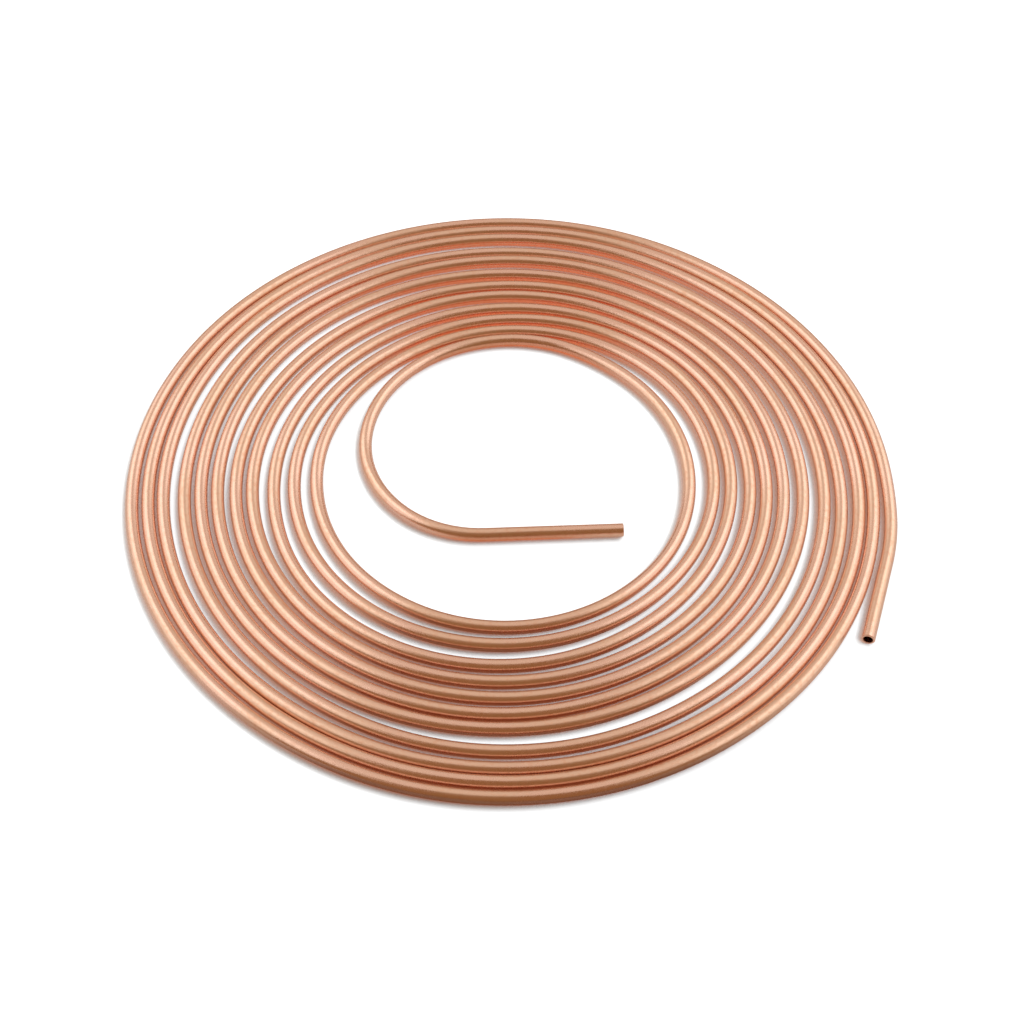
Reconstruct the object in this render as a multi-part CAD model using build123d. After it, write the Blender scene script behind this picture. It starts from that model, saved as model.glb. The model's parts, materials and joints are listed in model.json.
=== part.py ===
from build123d import *

import os
from itertools import accumulate, pairwise
from math import cos, pi, radians, sin, sqrt

# Copper tube coil: one length of soft copper tube, wound flat into an open spiral of a single layer.
# Millimetres. X is to the right, Y to the far side and Z up, and the coil lies on Z = 0.
# The line through the middle of the tube runs from the inner end outwards: a straight tail,
# a loose curl inside the eye, the turns, and a straight lead that stands off at the outer end.

# Tube
TUBE_OD = 4.75
TUBE_WALL = 0.7
END_CHAMFER = 0.15      # edge broken by the tube cutter

# Eye: clear reach from the middle of the coil to the innermost turn, on each of eight sides
EYE_FAR = 64.0
EYE_FAR_RIGHT = 62.4
EYE_RIGHT = 63.5
EYE_NEAR_RIGHT = 67.4
EYE_NEAR = 69.6
EYE_NEAR_LEFT = 69.0
EYE_LEFT = 67.4
EYE_FAR_LEFT = 66.9

# Clear gaps between neighbouring turns on each side, from the eye outwards, as the coil has sprung open
GAPS_FAR = (0.3, 1.6, 1.6, 2.6, 1.0, 2.3, 3.4, 0.2, 3.8, 0.2, 0.2)
GAPS_FAR_RIGHT = (4.0, 2.3, 0.9, 1.1, 1.3, 2.1, 2.3, 0.4, 2.9, 0.7, 0.2)
GAPS_RIGHT = (4.2, 1.5, 2.0, 1.1, 1.4, 2.3, 2.7, 1.2, 1.7, 0.5, 0.8)
GAPS_NEAR_RIGHT = (2.5, 2.2, 2.4, 1.6, 1.1, 1.4, 3.7, 1.9, 0.5, 0.4)
GAPS_NEAR = (2.4, 3.7, 1.7, 1.6, 1.4, 0.8, 3.7, 1.5, 0.2, 0.7)
GAPS_NEAR_LEFT = (3.7, 3.7, 1.6, 1.1, 1.6, 1.0, 1.4, 2.1, 0.2, 0.7)
GAPS_LEFT = (3.2, 2.5, 3.1, 1.2, 2.0, 1.3, 1.1, 2.9, 0.7, 1.0)
GAPS_FAR_LEFT = (1.5, 2.8, 3.0, 1.5, 3.7, 1.9, 1.1, 3.2, 0.2, 0.7)

# Outer end: the last stretch of the outermost turn springs out and ends in a straight lead
LEAD_ANGLE = 18.5       # degrees past the right-hand side where the lead begins
LEAD_SPRING = 1.7       # how far the tube has sprung outwards by then
LEAD_LENGTH = 34.5

# Inner end: the curl leaves the far side, passes the left side and ends in a straight tail
CURL_GAP = 12.1         # clear gap from the curl's leftmost point to the innermost turn
CURL_Y = 13.0           # that point's place on the far side of the middle
TAIL_GAP = 35.6         # clear gap from the tail's beginning to the innermost turn, on the near side
TAIL_X = -8.0           # the tail's beginning
TAIL_LENGTH = 49.0
TAIL_ANGLE = 2.5        # degrees by which the tail's end points to the far side

LEFTMOST = Vector(0, 1)     # the tube's direction at the curl's leftmost point
SIDES = 8                   # the coil's sides, clockwise from the far side
FAR_SIDE = pi / 2           # angle of the far side


def turn_radii(eye, gaps):
    """Distances from the middle of the coil to the tube's centre line on one side, from the eye outwards."""
    return list(accumulate((TUBE_OD + gap for gap in gaps), initial=eye + TUBE_OD / 2))


def winding():
    """Places that the turns pass, one on each side, as (angle, radius), from the eye's far side outwards."""
    sides = (
        turn_radii(EYE_FAR, GAPS_FAR),
        turn_radii(EYE_FAR_RIGHT, GAPS_FAR_RIGHT),
        turn_radii(EYE_RIGHT, GAPS_RIGHT),
        turn_radii(EYE_NEAR_RIGHT, GAPS_NEAR_RIGHT),
        turn_radii(EYE_NEAR, GAPS_NEAR),
        turn_radii(EYE_NEAR_LEFT, GAPS_NEAR_LEFT),
        turn_radii(EYE_LEFT, GAPS_LEFT),
        turn_radii(EYE_FAR_LEFT, GAPS_FAR_LEFT),
    )
    places = []
    for step in range(sum(len(radii) for radii in sides)):
        turn, side = divmod(step, SIDES)
        places.append((FAR_SIDE - step * 2 * pi / SIDES, sides[side][turn]))
    angle, radius = places[-1]
    places.append((angle - radians(LEAD_ANGLE), radius + LEAD_SPRING))
    return places


def point(place):
    angle, radius = place
    return Vector(radius * cos(angle), radius * sin(angle))


def direction(place, slope):
    """Direction of clockwise travel at a place where the radius grows by slope for each radian."""
    angle, radius = place
    around = Vector(sin(angle), -cos(angle)) * radius
    outwards = Vector(cos(angle), sin(angle)) * slope
    return (around + outwards).normalized()


def directions(places):
    """Direction at each place, from how the radius grows between the places before and after it."""
    found = []
    for (angle_before, before), here, (angle_after, after) in zip(places, places[1:], places[2:]):
        found.append(direction(here, (after - before) / (angle_before - angle_after)))
    # The curl ends alongside the next turn out, and the lead begins square to the radius
    alongside = found[SIDES - 1]
    return [alongside, *found, direction(places[-1], 0)]


def two_arcs(start, leaving, end, arriving):
    """Two arcs that meet in a common tangent and join start to end in the given directions."""
    chord = end - start
    both = leaving + arriving
    spread = 2 * (1 - leaving.dot(arriving))
    reach = (sqrt(chord.dot(both) ** 2 + spread * chord.dot(chord)) - chord.dot(both)) / spread
    knee_start = start + leaving * reach
    knee_end = end - arriving * reach
    meeting = (knee_start + knee_end) / 2
    return [
        TangentArc(start, meeting, tangent=leaving),
        TangentArc(meeting, end, tangent=knee_end - knee_start),
    ]


def centre_line():
    """The whole line through the middle of the tube, from the inner end to the outer end."""
    places = winding()
    stops = list(zip([point(place) for place in places], directions(places)))

    leftmost = Vector(-(EYE_LEFT - CURL_GAP - TUBE_OD / 2), CURL_Y)
    tail_start = Vector(TAIL_X, -(EYE_NEAR - TAIL_GAP - TUBE_OD / 2))
    inwards = Vector(-1, 0).rotate(Axis.Z, TAIL_ANGLE)
    stops = [(tail_start, inwards), (leftmost, LEFTMOST), *stops]

    edges = [Line(tail_start - inwards * TAIL_LENGTH, tail_start)]
    for (start, leaving), (end, arriving) in pairwise(stops):
        edges += two_arcs(start, leaving, end, arriving)
    lead_start, outwards = stops[-1]
    edges.append(Line(lead_start, lead_start + outwards * LEAD_LENGTH))
    return Wire(edges)


def copper_tube(line):
    """The hollow tube along the line, its outer edges broken at both ends."""
    section = Plane(origin=line @ 0, z_dir=line % 0) * (Circle(TUBE_OD / 2) - Circle(TUBE_OD / 2 - TUBE_WALL))
    tube = sweep(section, path=line)
    cut_ends = tube.faces().filter_by(GeomType.PLANE)
    rims = [edge for end in cut_ends for edge in end.outer_wire().edges()]
    return chamfer(rims, min(END_CHAMFER, TUBE_WALL / 2))


def laid_down(tube):
    """Move that stands the coil on the floor with the middle of its box over the origin."""
    box = tube.bounding_box()
    return Location((-box.center().X, -box.center().Y, -box.min.Z))


line = centre_line()
tube = copper_tube(line)
move = laid_down(tube)
tube = move * tube
line = move * line

section_area = pi * TUBE_WALL * (TUBE_OD - TUBE_WALL)
bends = line.edges().filter_by(GeomType.CIRCLE)
print("length", round(line.length, 1), "least radius", round(min(bend.radius for bend in bends), 1))
print("volume", round(tube.volume), "section times length", round(section_area * line.length))
print("inner end", line @ 0, "facing", line % 0 * -1)
print("outer end", line @ 1, "facing", line % 1)

os.makedirs("parts", exist_ok=True)
export_step(tube, "parts/copper_tube.step")
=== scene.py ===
"""Copper tube coil: soft copper tube, wound flat into an open spiral, on a pale studio floor.

Lengths are in metres. X is to the right, Y to the far side and Z up, and the coil lies on Z = 0.
"""

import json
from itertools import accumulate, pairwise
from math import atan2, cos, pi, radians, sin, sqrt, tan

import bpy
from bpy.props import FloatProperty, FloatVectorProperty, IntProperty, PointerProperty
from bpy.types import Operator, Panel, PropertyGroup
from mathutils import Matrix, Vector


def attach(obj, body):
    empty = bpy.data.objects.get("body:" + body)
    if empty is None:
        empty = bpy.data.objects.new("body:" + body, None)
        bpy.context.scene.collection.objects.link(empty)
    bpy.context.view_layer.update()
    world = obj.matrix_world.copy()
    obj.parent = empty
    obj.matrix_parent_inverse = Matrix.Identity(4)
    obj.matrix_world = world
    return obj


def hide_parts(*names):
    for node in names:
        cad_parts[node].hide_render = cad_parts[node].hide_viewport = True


bl_info = {
    "name": "Copper Tube Coil",
    "version": (1, 0, 0),
    "blender": (4, 5, 0),
    "location": "View3D > Sidebar > Copper Coil",
    "description": "Winds a flat open coil of soft copper tube and lights it on a pale floor",
    "category": "Object",
}

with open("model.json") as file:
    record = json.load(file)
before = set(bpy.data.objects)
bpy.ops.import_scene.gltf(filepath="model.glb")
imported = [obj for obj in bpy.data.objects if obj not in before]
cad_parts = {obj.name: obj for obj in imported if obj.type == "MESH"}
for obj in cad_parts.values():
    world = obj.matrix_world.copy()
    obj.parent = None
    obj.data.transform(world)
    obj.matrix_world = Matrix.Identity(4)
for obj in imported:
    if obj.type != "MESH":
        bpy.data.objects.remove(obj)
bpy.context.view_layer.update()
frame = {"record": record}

TUBE_RADIUS = frame["record"]["mounts"][0]["dims"]["r_mm"] / 1000

UP = Vector((0, 0, 1))
LEFTMOST = Vector((0, 1))       # the tube's direction at the curl's leftmost point
SIDES = 8                       # the coil's sides, clockwise from the far side
FAR_SIDE = pi / 2               # angle of the far side
NO_TURN = 1e-6                  # a curve that turns by less, in radians, is straight
CURVE_STEPS = 24                # steps of the guide curve between two stops
WELD = 0.00001                  # rings of neighbouring stretches of wall nearer than this become one
SHARP_EDGE = radians(35)        # edges that turn by more stay sharp
BORE_EDGE = 0.3                 # share of the wall's thickness in which the bore's painted shade fades out
ROUGHNESS_SWING = 0.03          # how far the clouds, and again the grain, vary the roughness
FLOOR_CORNERS = 96
NODE_ROWS, NODE_STEP = 6, Vector((220, -180))


def mm(*lengths):
    """Millimetres as metres."""
    return [length / 1000 for length in lengths]


# ---------------------------------------------------------------------------------------------------------------
# Sizes and colours
# ---------------------------------------------------------------------------------------------------------------

class CoilSizes(PropertyGroup):
    """Sizes of the tube and of the line that it is wound along."""
    diameter: FloatProperty(
        name="Tube Diameter", description="Outside diameter of the tube", unit="LENGTH", precision=5,
        default=2 * TUBE_RADIUS, min=0.001)
    wall: FloatProperty(
        name="Wall", description="Thickness of the tube's wall", unit="LENGTH", precision=5,
        default=0.0007, min=0.0001)
    cut_edge: FloatProperty(
        name="Cut Edge", description="Edge broken by the tube cutter at both ends", unit="LENGTH", precision=5,
        default=0.00015, min=0.0)

    eye_far: FloatProperty(
        name="Eye, Far", description="Clear reach from the middle to the innermost turn on the far side",
        unit="LENGTH", default=0.064)
    eye_far_right: FloatProperty(
        name="Eye, Far Right", description="Clear reach from the middle to the innermost turn at the far right",
        unit="LENGTH", default=0.0624)
    eye_right: FloatProperty(
        name="Eye, Right", description="Clear reach from the middle to the innermost turn on the right",
        unit="LENGTH", default=0.0635)
    eye_near_right: FloatProperty(
        name="Eye, Near Right", description="Clear reach from the middle to the innermost turn at the near right",
        unit="LENGTH", default=0.0674)
    eye_near: FloatProperty(
        name="Eye, Near", description="Clear reach from the middle to the innermost turn on the near side",
        unit="LENGTH", default=0.0696)
    eye_near_left: FloatProperty(
        name="Eye, Near Left", description="Clear reach from the middle to the innermost turn at the near left",
        unit="LENGTH", default=0.069)
    eye_left: FloatProperty(
        name="Eye, Left", description="Clear reach from the middle to the innermost turn on the left",
        unit="LENGTH", default=0.0674)
    eye_far_left: FloatProperty(
        name="Eye, Far Left", description="Clear reach from the middle to the innermost turn at the far left",
        unit="LENGTH", default=0.0669)

    gaps_far: FloatVectorProperty(
        name="Gaps, Far", description="Clear gaps between the turns on the far side, from the eye outwards",
        unit="LENGTH", precision=5, size=11, default=mm(0.3, 1.6, 1.6, 2.6, 1.0, 2.3, 3.4, 0.2, 3.8, 0.2, 0.2))
    gaps_far_right: FloatVectorProperty(
        name="Gaps, Far Right", description="Clear gaps between the turns at the far right, from the eye outwards",
        unit="LENGTH", precision=5, size=11, default=mm(4.0, 2.3, 0.9, 1.1, 1.3, 2.1, 2.3, 0.4, 2.9, 0.7, 0.2))
    gaps_right: FloatVectorProperty(
        name="Gaps, Right", description="Clear gaps between the turns on the right, from the eye outwards",
        unit="LENGTH", precision=5, size=11, default=mm(4.2, 1.5, 2.0, 1.1, 1.4, 2.3, 2.7, 1.2, 1.7, 0.5, 0.8))
    gaps_near_right: FloatVectorProperty(
        name="Gaps, Near Right",
        description="Clear gaps between the turns at the near right, from the eye outwards",
        unit="LENGTH", precision=5, size=10, default=mm(2.5, 2.2, 2.4, 1.6, 1.1, 1.4, 3.7, 1.9, 0.5, 0.4))
    gaps_near: FloatVectorProperty(
        name="Gaps, Near", description="Clear gaps between the turns on the near side, from the eye outwards",
        unit="LENGTH", precision=5, size=10, default=mm(2.4, 3.7, 1.7, 1.6, 1.4, 0.8, 3.7, 1.5, 0.2, 0.7))
    gaps_near_left: FloatVectorProperty(
        name="Gaps, Near Left", description="Clear gaps between the turns at the near left, from the eye outwards",
        unit="LENGTH", precision=5, size=10, default=mm(3.7, 3.7, 1.6, 1.1, 1.6, 1.0, 1.4, 2.1, 0.2, 0.7))
    gaps_left: FloatVectorProperty(
        name="Gaps, Left", description="Clear gaps between the turns on the left, from the eye outwards",
        unit="LENGTH", precision=5, size=10, default=mm(3.2, 2.5, 3.1, 1.2, 2.0, 1.3, 1.1, 2.9, 0.7, 1.0))
    gaps_far_left: FloatVectorProperty(
        name="Gaps, Far Left", description="Clear gaps between the turns at the far left, from the eye outwards",
        unit="LENGTH", precision=5, size=10, default=mm(1.5, 2.8, 3.0, 1.5, 3.7, 1.9, 1.1, 3.2, 0.2, 0.7))

    lead_angle: FloatProperty(
        name="Lead Angle", description="Turn past the right-hand side where the straight lead begins",
        subtype="ANGLE", default=radians(18.5))
    lead_spring: FloatProperty(
        name="Lead Spring", description="How far the tube has sprung outwards where the lead begins",
        unit="LENGTH", precision=5, default=0.0017)
    lead_length: FloatProperty(
        name="Lead Length", description="Length of the straight lead at the outer end", unit="LENGTH",
        default=0.0345)

    curl_gap: FloatProperty(
        name="Curl Gap", description="Clear gap from the curl's leftmost point to the innermost turn",
        unit="LENGTH", default=0.0121)
    curl_y: FloatProperty(
        name="Curl Place", description="The curl's leftmost point, on the far side of the middle", unit="LENGTH",
        default=0.013)
    tail_gap: FloatProperty(
        name="Tail Gap", description="Clear gap from the tail's beginning to the innermost turn on the near side",
        unit="LENGTH", default=0.0356)
    tail_x: FloatProperty(
        name="Tail Place", description="The tail's beginning, to the right of the middle", unit="LENGTH",
        default=-0.008)
    tail_length: FloatProperty(
        name="Tail Length", description="Length of the straight tail at the inner end", unit="LENGTH",
        default=0.049)
    tail_angle: FloatProperty(
        name="Tail Angle", description="How far the tail's end points to the far side", subtype="ANGLE",
        default=radians(2.5))

    sides: IntProperty(
        name="Sides", description="Facets around the tube", default=28, min=8)
    ring_spacing: FloatProperty(
        name="Ring Spacing", description="Distance between the rings of the outer wall", unit="LENGTH",
        precision=5, default=0.0032, min=0.0005)
    bore_spacing: FloatProperty(
        name="Bore Spacing", description="Distance between the rings of the bore", unit="LENGTH", precision=5,
        default=0.008, min=0.0005)


class CopperFinish(PropertyGroup):
    """Colours and surface of the drawn copper."""
    rosy: FloatVectorProperty(
        name="Rosy Copper", description="Colour of the clean drawn metal", subtype="COLOR", size=3,
        default=(0.90, 0.585, 0.47), min=0, max=1)
    golden: FloatVectorProperty(
        name="Golden Copper", description="Colour where the metal has tarnished a little", subtype="COLOR",
        size=3, default=(0.875, 0.59, 0.445), min=0, max=1)
    mottle: FloatVectorProperty(
        name="Mottling", description="Colour of the fine reddish mottling", subtype="COLOR", size=3,
        default=(0.78, 0.38, 0.22), min=0, max=1)
    mottling: FloatProperty(
        name="Mottling Strength", description="How strongly the fine mottling shows", subtype="FACTOR",
        default=0.35, min=0, max=1)
    # Painted shade: the darker, redder colour given to the inside of the bore
    bore: FloatVectorProperty(
        name="Bore", description="Colour of the dull metal inside the bore", subtype="COLOR", size=3,
        default=(0.75, 0.35, 0.2), min=0, max=1)
    roughness: FloatProperty(
        name="Roughness", description="Roughness of the drawn surface", subtype="FACTOR", default=0.3,
        min=0, max=1)
    line_depth: FloatProperty(
        name="Drawing Lines", description="Depth of the faint lines that run along the tube", unit="LENGTH",
        precision=6, default=0.00001, min=0)
    grain_depth: FloatProperty(
        name="Grain", description="Depth of the fine grain", unit="LENGTH", precision=6, default=0.00001, min=0)


class StageSettings(PropertyGroup):
    """Floor, soft lights and camera."""
    floor: FloatVectorProperty(
        name="Floor", description="Colour of the floor", subtype="COLOR", size=3, default=(0.5, 0.5, 0.5),
        min=0, max=1)
    floor_radius: FloatProperty(
        name="Floor Radius", description="Reach of the floor before its edge turns up", unit="LENGTH", default=5.0)
    floor_rim: FloatProperty(
        name="Floor Rim", description="Height of the floor's turned-up edge", unit="LENGTH", default=0.5)
    floor_lift: FloatVectorProperty(
        name="Floor Lift", description="Colour that lifts the floor to white where it is seen", subtype="COLOR",
        size=3, default=(0.86, 0.92, 0.96), min=0, max=1)
    # Painted reflection: the colours and strengths below are what the copper mirrors of the floor, painted by
    # place and warmed as painted copper bounce
    mirror_floor: FloatVectorProperty(
        name="Mirrored Floor", description="Colour of the floor as the copper mirrors it, warmed by the copper",
        subtype="COLOR", size=3, default=(0.46, 0.325, 0.26), min=0, max=1)
    mirror_lift: FloatVectorProperty(
        name="Mirrored Lift", description="Colour that lifts the floor where the copper mirrors it",
        subtype="COLOR", size=3, default=(0.10, 0.066, 0.055), min=0, max=1)
    mirror_beside: FloatVectorProperty(
        name="Mirrored Beside", description="Colour added to the mirrored floor at the left and right of the coil",
        subtype="COLOR", size=3, default=(0.31, 0.27, 0.25), min=0, max=1)
    mirror_near: FloatProperty(
        name="Mirrored Near", description="How brightly the copper mirrors the floor at the near side",
        default=0.55, min=0)
    mirror_far: FloatProperty(
        name="Mirrored Far", description="How brightly the copper mirrors the floor from the eye to the far side",
        default=1.35, min=0)
    near_edge: FloatVectorProperty(
        name="Near Edge", description="Depths between which the mirrored floor goes from near to far",
        unit="LENGTH", size=2, default=(-0.075, -0.035))
    copper_bounce: FloatVectorProperty(
        name="Copper Bounce", description="Colour that the copper throws on the floor deep between the turns",
        subtype="COLOR", size=3, default=(0.35, 0.11, 0.045), min=0, max=1)
    contact_shade: FloatVectorProperty(
        name="Contact Shade", description="Colour of the close shadow beside the tube", subtype="COLOR", size=3,
        default=(0.10, 0.11, 0.12), min=0, max=1)
    contact_reach: FloatProperty(
        name="Contact Shadow", description="How far from the tube its close shadow reaches", unit="LENGTH",
        precision=4, default=0.0029)
    contact_side: FloatVectorProperty(
        name="Contact Light", description="Direction of the light that the close shadow falls away from",
        subtype="DIRECTION", size=3, default=(0.85, 0.15, 0.7))
    backdrop: FloatVectorProperty(
        name="Backdrop", description="Colour seen beyond the floor", subtype="COLOR", size=3,
        default=(1.0, 1.0, 1.0), min=0, max=1)
    lamp: FloatVectorProperty(
        name="Lamps", description="Colour of the softboxes, a little cool beside the warm room", subtype="COLOR",
        size=3, default=(0.92, 1.0, 1.0), min=0, max=1)
    room: FloatVectorProperty(
        name="Room", description="Colour of the dim warm room around the stage", subtype="COLOR", size=3,
        default=(0.29, 0.155, 0.065), min=0, max=1)
    side_glow: FloatProperty(
        name="Side Softboxes", description="Brightness of the softboxes at the sides, where 1 is white",
        default=0.84, min=0)
    side_azimuth: FloatProperty(
        name="Side Softbox Turn", description="How far the side softboxes stand towards the far side",
        subtype="ANGLE", default=radians(12))
    side_elevation: FloatProperty(
        name="Side Softbox Height", description="Height of the side softboxes as an angle above the floor",
        subtype="ANGLE", default=radians(36))
    side_size: FloatVectorProperty(
        name="Side Softbox Size", description="Width and height of the side softboxes", unit="LENGTH", size=2,
        default=(1.9, 1.5))
    top_glow: FloatProperty(
        name="Top Softbox", description="Brightness of the softbox above the far side, where 1 is white",
        default=0.45, min=0)
    top_elevation: FloatProperty(
        name="Top Softbox Height", description="Height of the top softbox as an angle above the floor",
        subtype="ANGLE", default=radians(58))
    top_size: FloatVectorProperty(
        name="Top Softbox Size", description="Width and height of the top softbox", unit="LENGTH", size=2,
        default=(2.8, 2.3))
    light_distance: FloatProperty(
        name="Light Distance", description="From the coil to each softbox", unit="LENGTH", default=1.25)
    distance: FloatProperty(
        name="Camera Distance", description="From the camera to the point that it looks at", unit="LENGTH",
        default=0.5828)
    elevation: FloatProperty(
        name="Camera Elevation", description="Height of the camera as an angle above the floor",
        subtype="ANGLE", default=radians(50.36))
    aim: FloatVectorProperty(
        name="Aim", description="Point on the floor that the camera looks at", subtype="TRANSLATION", size=3,
        default=(0.0008, -0.0186, 0.0))
    lens: FloatProperty(
        name="Lens", description="Focal length of the camera", unit="CAMERA", default=56.95)


# ---------------------------------------------------------------------------------------------------------------
# The line through the middle of the tube
# ---------------------------------------------------------------------------------------------------------------

def turn_radii(sizes, eye, gaps):
    """Distances from the middle of the coil to the tube's centre line on one side, from the eye outwards."""
    return list(accumulate((sizes.diameter + gap for gap in gaps), initial=eye + sizes.diameter / 2))


def winding(sizes):
    """Places that the turns pass, one on each side, as (angle, radius), from the eye's far side outwards."""
    sides = (
        turn_radii(sizes, sizes.eye_far, sizes.gaps_far),
        turn_radii(sizes, sizes.eye_far_right, sizes.gaps_far_right),
        turn_radii(sizes, sizes.eye_right, sizes.gaps_right),
        turn_radii(sizes, sizes.eye_near_right, sizes.gaps_near_right),
        turn_radii(sizes, sizes.eye_near, sizes.gaps_near),
        turn_radii(sizes, sizes.eye_near_left, sizes.gaps_near_left),
        turn_radii(sizes, sizes.eye_left, sizes.gaps_left),
        turn_radii(sizes, sizes.eye_far_left, sizes.gaps_far_left),
    )
    places = []
    for step in range(sum(len(radii) for radii in sides)):
        turn, side = divmod(step, SIDES)
        places.append((FAR_SIDE - step * 2 * pi / SIDES, sides[side][turn]))
    angle, radius = places[-1]
    places.append((angle - sizes.lead_angle, radius + sizes.lead_spring))
    return places


def point(place):
    angle, radius = place
    return Vector((radius * cos(angle), radius * sin(angle)))


def direction(place, slope):
    """Direction of clockwise travel at a place where the radius grows by slope for each radian."""
    angle, radius = place
    around = Vector((sin(angle), -cos(angle))) * radius
    outwards = Vector((cos(angle), sin(angle))) * slope
    return (around + outwards).normalized()


def directions(places):
    """Direction at each place, from how the radius grows between the places before and after it."""
    found = []
    for (angle_before, before), here, (angle_after, after) in zip(places, places[1:], places[2:]):
        found.append(direction(here, (after - before) / (angle_before - angle_after)))
    # The curl ends alongside the next turn out, and the lead begins square to the radius
    alongside = found[SIDES - 1]
    return [alongside, *found, direction(places[-1], 0)]


def meeting_of_two_arcs(start, leaving, end, arriving):
    """Point and direction where two arcs meet that join start to end in the given directions."""
    chord = end - start
    both = leaving + arriving
    spread = 2 * (1 - leaving.dot(arriving))
    reach = (sqrt(chord.dot(both) ** 2 + spread * chord.dot(chord)) - chord.dot(both)) / spread
    knee_start = start + leaving * reach
    knee_end = end - arriving * reach
    return (knee_start + knee_end) / 2, (knee_end - knee_start).normalized()


def centre_line(sizes):
    """Stops along the tube's centre line as (point, direction), joined by arcs, from the inner end outwards."""
    places = winding(sizes)
    stops = list(zip([point(place) for place in places], directions(places)))

    leftmost = Vector((-(sizes.eye_left - sizes.curl_gap - sizes.diameter / 2), sizes.curl_y))
    tail_start = Vector((sizes.tail_x, -(sizes.eye_near - sizes.tail_gap - sizes.diameter / 2)))
    inwards = Vector((-cos(sizes.tail_angle), -sin(sizes.tail_angle)))
    stops = [(tail_start, inwards), (leftmost, LEFTMOST), *stops]

    line = [(tail_start - inwards * sizes.tail_length, inwards), stops[0]]
    for (start, leaving), (end, arriving) in pairwise(stops):
        line += [meeting_of_two_arcs(start, leaving, end, arriving), (end, arriving)]
    lead_start, outwards = stops[-1]
    line.append((lead_start + outwards * sizes.lead_length, outwards))
    return line


def arc_handle(start, leaving, end, arriving):
    """Length of the handles that make a curve segment follow the arc between two stops."""
    turned = abs(atan2(leaving.cross(arriving), leaving.dot(arriving)))
    chord = (end - start).length
    if turned < NO_TURN:
        return chord / 3
    return 4 / 3 * tan(turned / 4) * chord / (2 * sin(turned / 2))


def guide_curve(name, line, height):
    """Curve of arcs and straight ends through the stops, lying at the given height."""
    data = bpy.data.curves.new(name, "CURVE")
    data.dimensions = "3D"
    data.resolution_u = CURVE_STEPS
    spline = data.splines.new("BEZIER")
    spline.bezier_points.add(len(line) - 1)
    for knot, (place, heading) in zip(spline.bezier_points, line):
        knot.handle_left_type = knot.handle_right_type = "FREE"
        knot.co = knot.handle_left = knot.handle_right = place.to_3d() + UP * height
    for (before, (start, leaving)), (after, (end, arriving)) in pairwise(zip(spline.bezier_points, line)):
        reach = arc_handle(start, leaving, end, arriving)
        before.handle_right = before.co + leaving.to_3d() * reach
        after.handle_left = after.co - arriving.to_3d() * reach
    return data


# ---------------------------------------------------------------------------------------------------------------
# Node helpers
# ---------------------------------------------------------------------------------------------------------------

def add_node(tree, kind, settings=None, **inputs):
    """New node with its settings, and its inputs set or linked by socket name."""
    node = tree.nodes.new(kind)
    for name, value in (settings or {}).items():
        setattr(node, name, value)
    for name, value in inputs.items():
        connect(tree, node.inputs[name.replace("_", " ")], value)
    return node


def connect(tree, socket, value):
    if isinstance(value, bpy.types.NodeSocket):
        tree.links.new(value, socket)
    else:
        socket.default_value = value


def calculate(tree, operation, *values):
    """Result of a Math node."""
    node = add_node(tree, "ShaderNodeMath", {"operation": operation})
    for socket, value in zip(node.inputs, values):
        connect(tree, socket, value)
    return node.outputs[0]


def calculate_vector(tree, operation, *values, scale=None):
    """Result of a Vector Math node."""
    node = add_node(tree, "ShaderNodeVectorMath", {"operation": operation})
    for socket, value in zip(node.inputs, values):
        connect(tree, socket, value)
    if scale is not None:
        connect(tree, node.inputs["Scale"], scale)
    return node.outputs["Vector"]


def blend(tree, factor, start, end):
    """Number that goes from start to end with the factor."""
    span = calculate(tree, "SUBTRACT", end, start)
    return calculate(tree, "ADD", start, calculate(tree, "MULTIPLY", factor, span))


def ramp(tree, value, low, high, to_low=0.0, to_high=1.0):
    """Value taken smoothly from the range low to high to the range to_low to to_high."""
    node = add_node(
        tree, "ShaderNodeMapRange", {"interpolation_type": "SMOOTHSTEP"}, Value=value, From_Min=low,
        From_Max=high, To_Min=to_low, To_Max=to_high)
    return node.outputs["Result"]


def mix_colour(tree, factor, start, end):
    """Colour that goes from start to end with the factor."""
    node = tree.nodes.new("ShaderNodeMix")
    node.data_type = "RGBA"
    connect(tree, node.inputs[0], factor)
    connect(tree, node.inputs[6], start)
    connect(tree, node.inputs[7], end)
    return node.outputs[2]


def lay_out(tree):
    """Stand the nodes in columns, in the order in which they were added."""
    for number, node in enumerate(tree.nodes):
        node.location = Vector(divmod(number, NODE_ROWS)) * NODE_STEP


# ---------------------------------------------------------------------------------------------------------------
# Tube
# ---------------------------------------------------------------------------------------------------------------

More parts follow.
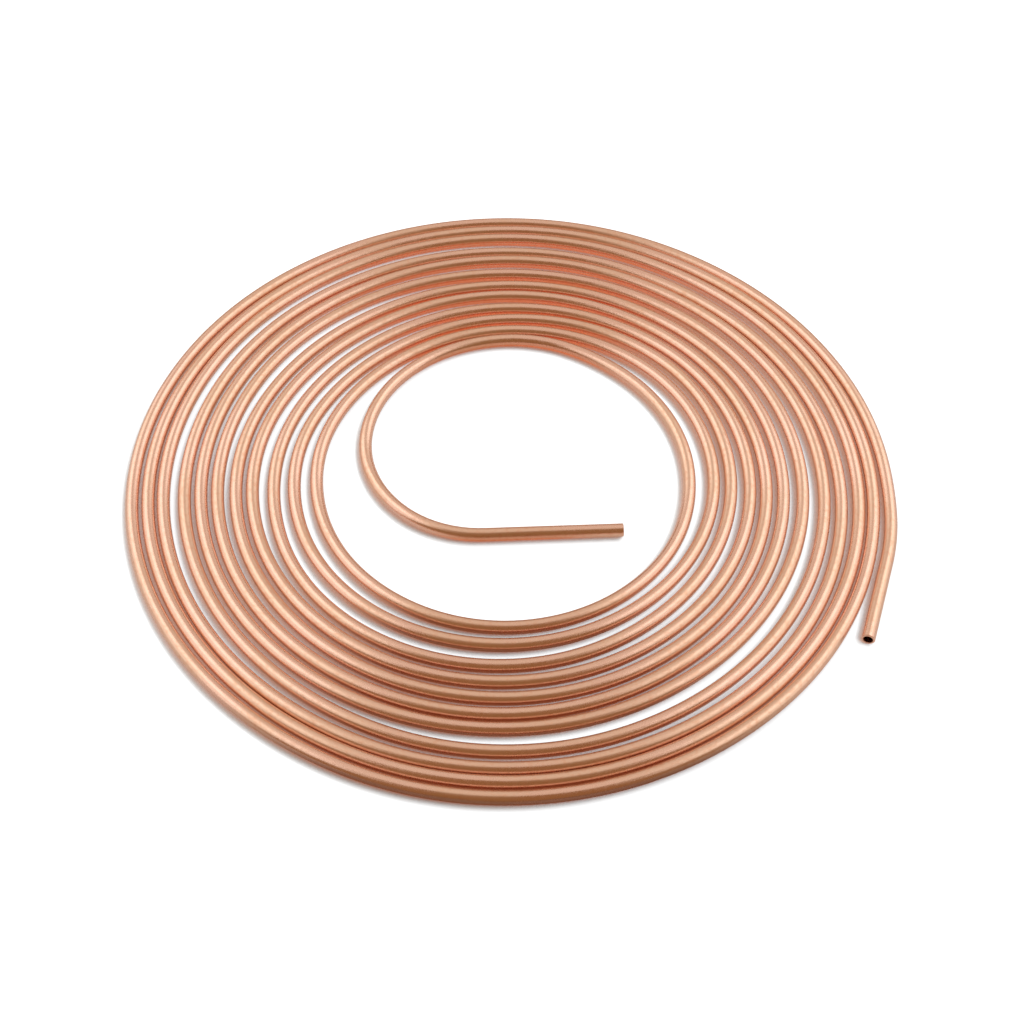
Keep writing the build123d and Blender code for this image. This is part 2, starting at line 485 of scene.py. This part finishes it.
def wall_tree():
    """Geometry Nodes group: one stretch of wall, rings around the line from one place and radius to another."""
    tree = bpy.data.node_groups.new("Stretch of Wall", "GeometryNodeTree")
    for name, kind in (
        ("Line", "NodeSocketGeometry"), ("Rings", "NodeSocketInt"), ("Sides", "NodeSocketInt"),
        ("Start", "NodeSocketFloat"), ("End", "NodeSocketFloat"),
        ("Start Radius", "NodeSocketFloat"), ("End Radius", "NodeSocketFloat"),
    ):
        tree.interface.new_socket(name, in_out="INPUT", socket_type=kind)
    tree.interface.new_socket("Wall", in_out="OUTPUT", socket_type="NodeSocketGeometry")
    given = add_node(tree, "NodeGroupInput").outputs

    columns = calculate(tree, "ADD", given["Sides"], 1.0)
    grid = add_node(tree, "GeometryNodeMeshGrid", Vertices_X=given["Rings"], Vertices_Y=columns)
    index = add_node(tree, "GeometryNodeInputIndex").outputs[0]
    ring = calculate(tree, "FLOOR", calculate(tree, "DIVIDE", calculate(tree, "ADD", index, 0.5), columns))
    side = calculate(tree, "SUBTRACT", index, calculate(tree, "MULTIPLY", ring, columns))
    share = calculate(tree, "DIVIDE", ring, calculate(tree, "SUBTRACT", given["Rings"], 1.0))
    along = blend(tree, share, given["Start"], given["End"])
    radius = blend(tree, share, given["Start Radius"], given["End Radius"])
    angle = calculate(tree, "MULTIPLY", calculate(tree, "DIVIDE", side, given["Sides"]), 2 * pi)
    sideways = calculate(tree, "MULTIPLY", radius, calculate(tree, "COSINE", angle))
    upwards = calculate(tree, "MULTIPLY", radius, calculate(tree, "SINE", angle))

    centre = add_node(
        tree, "GeometryNodeSampleCurve", {"mode": "LENGTH"}, Curves=given["Line"], Length=along).outputs
    across = calculate_vector(tree, "CROSS_PRODUCT", centre["Tangent"], UP)
    offset = calculate_vector(
        tree, "ADD", calculate_vector(tree, "SCALE", calculate_vector(tree, "NORMALIZE", across), scale=sideways),
        calculate_vector(tree, "SCALE", UP, scale=upwards))
    placed = add_node(
        tree, "GeometryNodeSetPosition", Geometry=grid.outputs["Mesh"],
        Position=calculate_vector(tree, "ADD", centre["Position"], offset))

    # Place on the tube as if it were unrolled straight: along it, sideways and up from its centre line
    unrolled = add_node(tree, "ShaderNodeCombineXYZ", X=along, Y=sideways, Z=upwards)
    stored = add_node(
        tree, "GeometryNodeStoreNamedAttribute", {"data_type": "FLOAT_VECTOR", "domain": "POINT"},
        Geometry=placed.outputs["Geometry"], Name="unrolled", Value=unrolled.outputs[0])
    add_node(tree, "NodeGroupOutput", Wall=stored.outputs["Geometry"])
    lay_out(tree)
    return tree


def tube_tree():
    """Geometry Nodes tree: the hollow tube along the line, with the edge broken at both cut ends."""
    wall_group = wall_tree()
    tree = bpy.data.node_groups.new("Drawn Tube", "GeometryNodeTree")
    tree.is_modifier = True
    for name, kind in (
        ("Line", "NodeSocketGeometry"), ("Diameter", "NodeSocketFloat"), ("Wall", "NodeSocketFloat"),
        ("Cut Edge", "NodeSocketFloat"), ("Sides", "NodeSocketInt"), ("Ring Spacing", "NodeSocketFloat"),
        ("Bore Spacing", "NodeSocketFloat"), ("Finish", "NodeSocketMaterial"),
    ):
        tree.interface.new_socket(name, in_out="INPUT", socket_type=kind)
    tree.interface.new_socket("Tube", in_out="OUTPUT", socket_type="NodeSocketGeometry")
    given = add_node(tree, "NodeGroupInput").outputs

    length = add_node(tree, "GeometryNodeCurveLength", Curve=given["Line"]).outputs["Length"]
    outer = calculate(tree, "MULTIPLY", given["Diameter"], 0.5)
    bore = calculate(tree, "SUBTRACT", outer, given["Wall"])
    rim = calculate(tree, "SUBTRACT", outer, given["Cut Edge"])
    edge_end = calculate(tree, "SUBTRACT", length, given["Cut Edge"])
    outer_rings = calculate(tree, "CEIL", calculate(tree, "DIVIDE", length, given["Ring Spacing"]))
    bore_rings = calculate(tree, "CEIL", calculate(tree, "DIVIDE", length, given["Bore Spacing"]))

    # Once round the wall: out over the inner end's face and edge, along the outside, and back through the bore
    walls = []
    for rings, start, end, start_radius, end_radius in (
        (2, 0.0, 0.0, bore, rim),
        (2, 0.0, given["Cut Edge"], rim, outer),
        (outer_rings, given["Cut Edge"], edge_end, outer, outer),
        (2, edge_end, length, outer, rim),
        (2, length, length, rim, bore),
        (bore_rings, length, 0.0, bore, bore),
    ):
        stretch = add_node(
            tree, "GeometryNodeGroup", {"node_tree": wall_group}, Line=given["Line"], Rings=rings,
            Sides=given["Sides"], Start=start, End=end, Start_Radius=start_radius, End_Radius=end_radius)
        walls.append(stretch.outputs["Wall"])
    joined = add_node(tree, "GeometryNodeJoinGeometry")
    for wall in reversed(walls):
        tree.links.new(wall, joined.inputs["Geometry"])
    closed = add_node(
        tree, "GeometryNodeMergeByDistance", Geometry=joined.outputs["Geometry"], Distance=WELD)
    smooth = add_node(
        tree, "GeometryNodeSetShadeSmooth", Geometry=closed.outputs["Geometry"], Shade_Smooth=True)
    real = add_node(tree, "GeometryNodeRealizeInstances", Geometry=smooth.outputs["Geometry"])
    finished = add_node(
        tree, "GeometryNodeSetMaterial", Geometry=real.outputs["Geometry"], Material=given["Finish"])
    add_node(tree, "NodeGroupOutput", Tube=finished.outputs["Geometry"])
    lay_out(tree)
    return tree


def noise(tree, place, scale, detail, drawn_out):
    """Noise on the unrolled tube, drawn out along it so many times."""
    mapping = add_node(tree, "ShaderNodeMapping", Vector=place, Scale=(1 / drawn_out, 1, 1))
    texture = add_node(
        tree, "ShaderNodeTexNoise", Vector=mapping.outputs["Vector"], Scale=scale, Detail=detail)
    return texture.outputs["Fac"]


def copper_material(sizes, finish):
    """Satin drawn copper: cloudy tarnish, a fine mottled grain, faint lines along the tube, and shade painted into
    the bore's colour.
    """
    material = bpy.data.materials.new("Drawn Copper")
    material.use_nodes = True
    tree = material.node_tree
    tree.nodes.clear()
    place = add_node(tree, "ShaderNodeAttribute", {"attribute_name": "unrolled"}).outputs["Vector"]

    clouds = noise(tree, place, scale=90, detail=3, drawn_out=3)
    patches = noise(tree, place, scale=120, detail=2, drawn_out=4)
    streaks = noise(tree, place, scale=900, detail=2, drawn_out=40)
    grain = noise(tree, place, scale=850, detail=2, drawn_out=1.5)

    # Inside the bore the colour is painted darker and redder, as painted shade in the bore
    parts = add_node(tree, "ShaderNodeSeparateXYZ", Vector=place)
    squares = [calculate(tree, "POWER", parts.outputs[axis], 2.0) for axis in "YZ"]
    from_centre = calculate(tree, "SQRT", calculate(tree, "ADD", *squares))
    bore_radius = sizes.diameter / 2 - sizes.wall
    inside = ramp(tree, from_centre, bore_radius, bore_radius + sizes.wall * BORE_EDGE, 1.0, 0.0)

    tarnish = ramp(tree, clouds, 0.38, 0.62)
    metal = mix_colour(tree, tarnish, (*finish.rosy, 1), (*finish.golden, 1))
    shown = calculate(
        tree, "MULTIPLY", ramp(tree, grain, 0.45, 0.7), ramp(tree, patches, 0.4, 0.6, 0.1, finish.mottling))
    mottled = mix_colour(tree, shown, metal, (*finish.mottle, 1))
    colour = mix_colour(tree, inside, mottled, (*finish.bore, 1))

    smoothest, roughest = finish.roughness - ROUGHNESS_SWING, finish.roughness + ROUGHNESS_SWING
    rough = calculate(
        tree, "ADD", ramp(tree, clouds, 0.3, 0.7, smoothest, roughest),
        ramp(tree, grain, 0.4, 0.7, -ROUGHNESS_SWING, ROUGHNESS_SWING))
    lines = add_node(
        tree, "ShaderNodeBump", Strength=1.0, Distance=finish.line_depth, Height=streaks).outputs["Normal"]
    relief = add_node(
        tree, "ShaderNodeBump", Strength=1.0, Distance=finish.grain_depth, Height=grain, Normal=lines)
    shader = add_node(
        tree, "ShaderNodeBsdfPrincipled", Base_Color=colour, Metallic=1.0, Roughness=rough,
        Normal=relief.outputs["Normal"])
    add_node(tree, "ShaderNodeOutputMaterial", Surface=shader.outputs["BSDF"])
    lay_out(tree)
    return material


class COIL_OT_copper_tube(Operator):
    """Wind the copper tube: one hollow length along the coil's centre line"""
    bl_idname = "coil.copper_tube"
    bl_label = "Wind Copper Tube"

    def execute(self, context):
        sizes = context.scene.coil_sizes
        line = centre_line(sizes)
        guide = bpy.data.objects.new("Tube Line", guide_curve("Tube Line", line, sizes.diameter / 2))
        context.collection.objects.link(guide)

        modifier = guide.modifiers.new("Drawn Tube", "NODES")
        tree = tube_tree()
        modifier.node_group = tree
        sockets = {item.name: item.identifier for item in tree.interface.items_tree if item.in_out == "INPUT"}
        for name, value in (
            ("Diameter", sizes.diameter), ("Wall", sizes.wall), ("Cut Edge", sizes.cut_edge),
            ("Sides", sizes.sides), ("Ring Spacing", sizes.ring_spacing), ("Bore Spacing", sizes.bore_spacing),
            ("Finish", copper_material(sizes, context.scene.coil_finish)),
        ):
            modifier[sockets[name]] = value

        mesh = bpy.data.meshes.new_from_object(guide.evaluated_get(context.evaluated_depsgraph_get()))
        guide.modifiers.remove(modifier)
        bpy.data.objects.remove(guide)
        if not mesh.polygons:
            raise RuntimeError("the tube came out empty")

        # The middle of the coil's box stands over the origin
        xs, ys, _ = zip(*(vertex.co for vertex in mesh.vertices))
        middle = Vector(((min(xs) + max(xs)) / 2, (min(ys) + max(ys)) / 2, 0))
        for vertex in mesh.vertices:
            vertex.co -= middle
        mesh.name = "drawn_copper_tube"
        mesh.set_sharp_from_angle(angle=SHARP_EDGE)

        tube = bpy.data.objects.new("drawn_copper_tube", mesh)
        context.collection.objects.link(tube)
        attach(tube, "root")
        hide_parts("copper_tube")
        return {"FINISHED"}


# ---------------------------------------------------------------------------------------------------------------
# Stage
# ---------------------------------------------------------------------------------------------------------------

def floor_material(stage):
    """Pale matt floor, lifted to white where it is seen, with a painted close shadow on one side of the tube, and
    painted reflections: the copper mirrors it in colours painted by place.
    """
    material = bpy.data.materials.new("Pale Floor")
    material.use_nodes = True
    tree = material.node_tree
    tree.nodes.clear()
    path = add_node(tree, "ShaderNodeLightPath").outputs
    behind = calculate(tree, "MAXIMUM", path["Is Glossy Ray"], path["Is Transmission Ray"])
    # At the left and right the floor is painted paler where the copper mirrors it between the turns: a painted
    # reflection standing in for the side softboxes' light
    place = add_node(tree, "ShaderNodeTexCoord").outputs["Object"]
    outwards = add_node(tree, "ShaderNodeSeparateXYZ", Vector=calculate_vector(tree, "NORMALIZE", place))
    beside = ramp(tree, calculate(tree, "ABSOLUTE", outwards.outputs["X"]), 0.35, 0.85)
    # From the eye to the far side the mirrored floor is painted brighter than at the near side: a painted
    # reflection standing in for the top softbox's light
    depth = add_node(tree, "ShaderNodeSeparateXYZ", Vector=place).outputs["Y"]
    painted_reflection_gain = ramp(tree, depth, stage.near_edge[0], stage.near_edge[1], stage.mirror_near, stage.mirror_far)
    underneath = mix_colour(
        tree, beside, calculate_vector(tree, "MULTIPLY", stage.mirror_floor, painted_reflection_gain), (*stage.floor, 1))
    matt = add_node(
        tree, "ShaderNodeBsdfDiffuse", Color=mix_colour(tree, behind, (*stage.floor, 1), underneath))
    light = add_node(tree, "ShaderNodeCombineXYZ", **dict(zip("XYZ", stage.contact_side))).outputs[0]
    clear = add_node(
        tree, "ShaderNodeAmbientOcclusion", {"samples": 4}, Distance=stage.contact_reach,
        Normal=calculate_vector(tree, "NORMALIZE", light)).outputs["AO"]
    close = mix_colour(
        tree, ramp(tree, clear, 0.3, 0.45), (*stage.copper_bounce, 1), (*stage.contact_shade, 1))
    lifted = mix_colour(tree, ramp(tree, clear, 0.45, 0.9), close, (*stage.floor_lift, 1))
    across = mix_colour(
        tree, ramp(tree, clear, 0.4, 0.95), (*stage.copper_bounce, 1), (*stage.mirror_lift, 1))
    reflection = mix_colour(
        tree, beside, calculate_vector(tree, "MULTIPLY", across, painted_reflection_gain), (*stage.mirror_beside, 1))
    mirrored = mix_colour(tree, behind, (0, 0, 0, 1), reflection)
    glow = add_node(
        tree, "ShaderNodeEmission", Strength=1.0,
        Color=mix_colour(tree, path["Is Camera Ray"], mirrored, lifted))
    both = add_node(tree, "ShaderNodeAddShader")
    tree.links.new(matt.outputs[0], both.inputs[0])
    tree.links.new(glow.outputs[0], both.inputs[1])
    add_node(tree, "ShaderNodeOutputMaterial", Surface=both.outputs[0])
    lay_out(tree)
    return material


def softbox(context, name, azimuth, elevation, size, glow):
    """Rectangular soft light that faces the coil from a direction, with its brightness given against white."""
    stage = context.scene.coil_stage
    outwards = Vector((cos(azimuth) * cos(elevation), sin(azimuth) * cos(elevation), sin(elevation)))
    data = bpy.data.lights.new(name, "AREA")
    data.shape = "RECTANGLE"
    data.size, data.size_y = size
    data.energy = glow * pi * data.size * data.size_y
    data.color = stage.lamp
    light = bpy.data.objects.new(name, data)
    light.location = outwards * stage.light_distance
    light.rotation_euler = (-outwards).to_track_quat("-Z", "Y").to_euler()
    light.visible_camera = False
    context.collection.objects.link(light)


def floor_mesh(radius, rim):
    """Round floor whose edge turns up."""
    angles = [2 * pi * corner / FLOOR_CORNERS for corner in range(FLOOR_CORNERS)]
    flat = [(radius * cos(angle), radius * sin(angle), 0) for angle in angles]
    raised = [((radius + rim) * cos(angle), (radius + rim) * sin(angle), rim) for angle in angles]
    faces = [tuple(range(FLOOR_CORNERS))]
    for corner in range(FLOOR_CORNERS):
        following = (corner + 1) % FLOOR_CORNERS
        faces.append((corner, following, FLOOR_CORNERS + following, FLOOR_CORNERS + corner))
    mesh = bpy.data.meshes.new("floor")
    mesh.from_pydata(flat + raised, [], faces)
    return mesh


def room(stage):
    """World of one dim warm colour, in front of which the camera sees the backdrop."""
    world = bpy.data.worlds.new("Room")
    world.use_nodes = True
    tree = world.node_tree
    seen = add_node(tree, "ShaderNodeLightPath").outputs["Is Camera Ray"]
    connect(
        tree, tree.nodes["Background"].inputs["Color"],
        mix_colour(tree, seen, (*stage.room, 1), (*stage.backdrop, 1)))
    return world


class COIL_OT_stage(Operator):
    """Set the stage: pale floor, soft lights, dim room and camera"""
    bl_idname = "coil.stage"
    bl_label = "Set Stage"

    def execute(self, context):
        stage = context.scene.coil_stage
        mesh = floor_mesh(stage.floor_radius, stage.floor_rim)
        mesh.materials.append(floor_material(stage))
        floor = bpy.data.objects.new("floor", mesh)
        context.collection.objects.link(floor)

        for name, azimuth in (("Right Softbox", stage.side_azimuth), ("Left Softbox", pi - stage.side_azimuth)):
            softbox(context, name, azimuth, stage.side_elevation, stage.side_size, stage.side_glow)
        softbox(context, "Top Softbox", FAR_SIDE, stage.top_elevation, stage.top_size, stage.top_glow)

        context.scene.world = room(stage)

        camera = bpy.data.objects.new("Camera", bpy.data.cameras.new("Camera"))
        camera.data.lens = stage.lens
        towards = Vector((0, cos(stage.elevation), -sin(stage.elevation)))
        camera.location = Vector(stage.aim) - towards * stage.distance
        camera.rotation_euler = towards.to_track_quat("-Z", "Y").to_euler()
        context.collection.objects.link(camera)
        context.scene.camera = camera
        context.scene.view_settings.view_transform = "Standard"
        return {"FINISHED"}


# ---------------------------------------------------------------------------------------------------------------
# Panel and registration
# ---------------------------------------------------------------------------------------------------------------

class COIL_PT_panel(Panel):
    """Buttons and sizes of the coil, in the sidebar of the 3D view"""
    bl_idname = "COIL_PT_panel"
    bl_label = "Copper Tube Coil"
    bl_space_type = "VIEW_3D"
    bl_region_type = "UI"
    bl_category = "Copper Coil"

    def draw(self, context):
        for title, operator, groups in (
            ("Tube", COIL_OT_copper_tube, (context.scene.coil_sizes, context.scene.coil_finish)),
            ("Stage", COIL_OT_stage, (context.scene.coil_stage,)),
        ):
            box = self.layout.box()
            box.label(text=title)
            for group in groups:
                for name in group.__annotations__:
                    box.prop(group, name)
            box.operator(operator.bl_idname)


CLASSES = (CoilSizes, CopperFinish, StageSettings, COIL_OT_copper_tube, COIL_OT_stage, COIL_PT_panel)


def register():
    for cls in CLASSES:
        bpy.utils.register_class(cls)
    bpy.types.Scene.coil_sizes = PointerProperty(type=CoilSizes)
    bpy.types.Scene.coil_finish = PointerProperty(type=CopperFinish)
    bpy.types.Scene.coil_stage = PointerProperty(type=StageSettings)


def unregister():
    del bpy.types.Scene.coil_stage
    del bpy.types.Scene.coil_finish
    del bpy.types.Scene.coil_sizes
    for cls in reversed(CLASSES):
        bpy.utils.unregister_class(cls)


def main():
    register()
    bpy.ops.coil.copper_tube()
    bpy.ops.coil.stage()


if __name__ == "__main__":
    main()
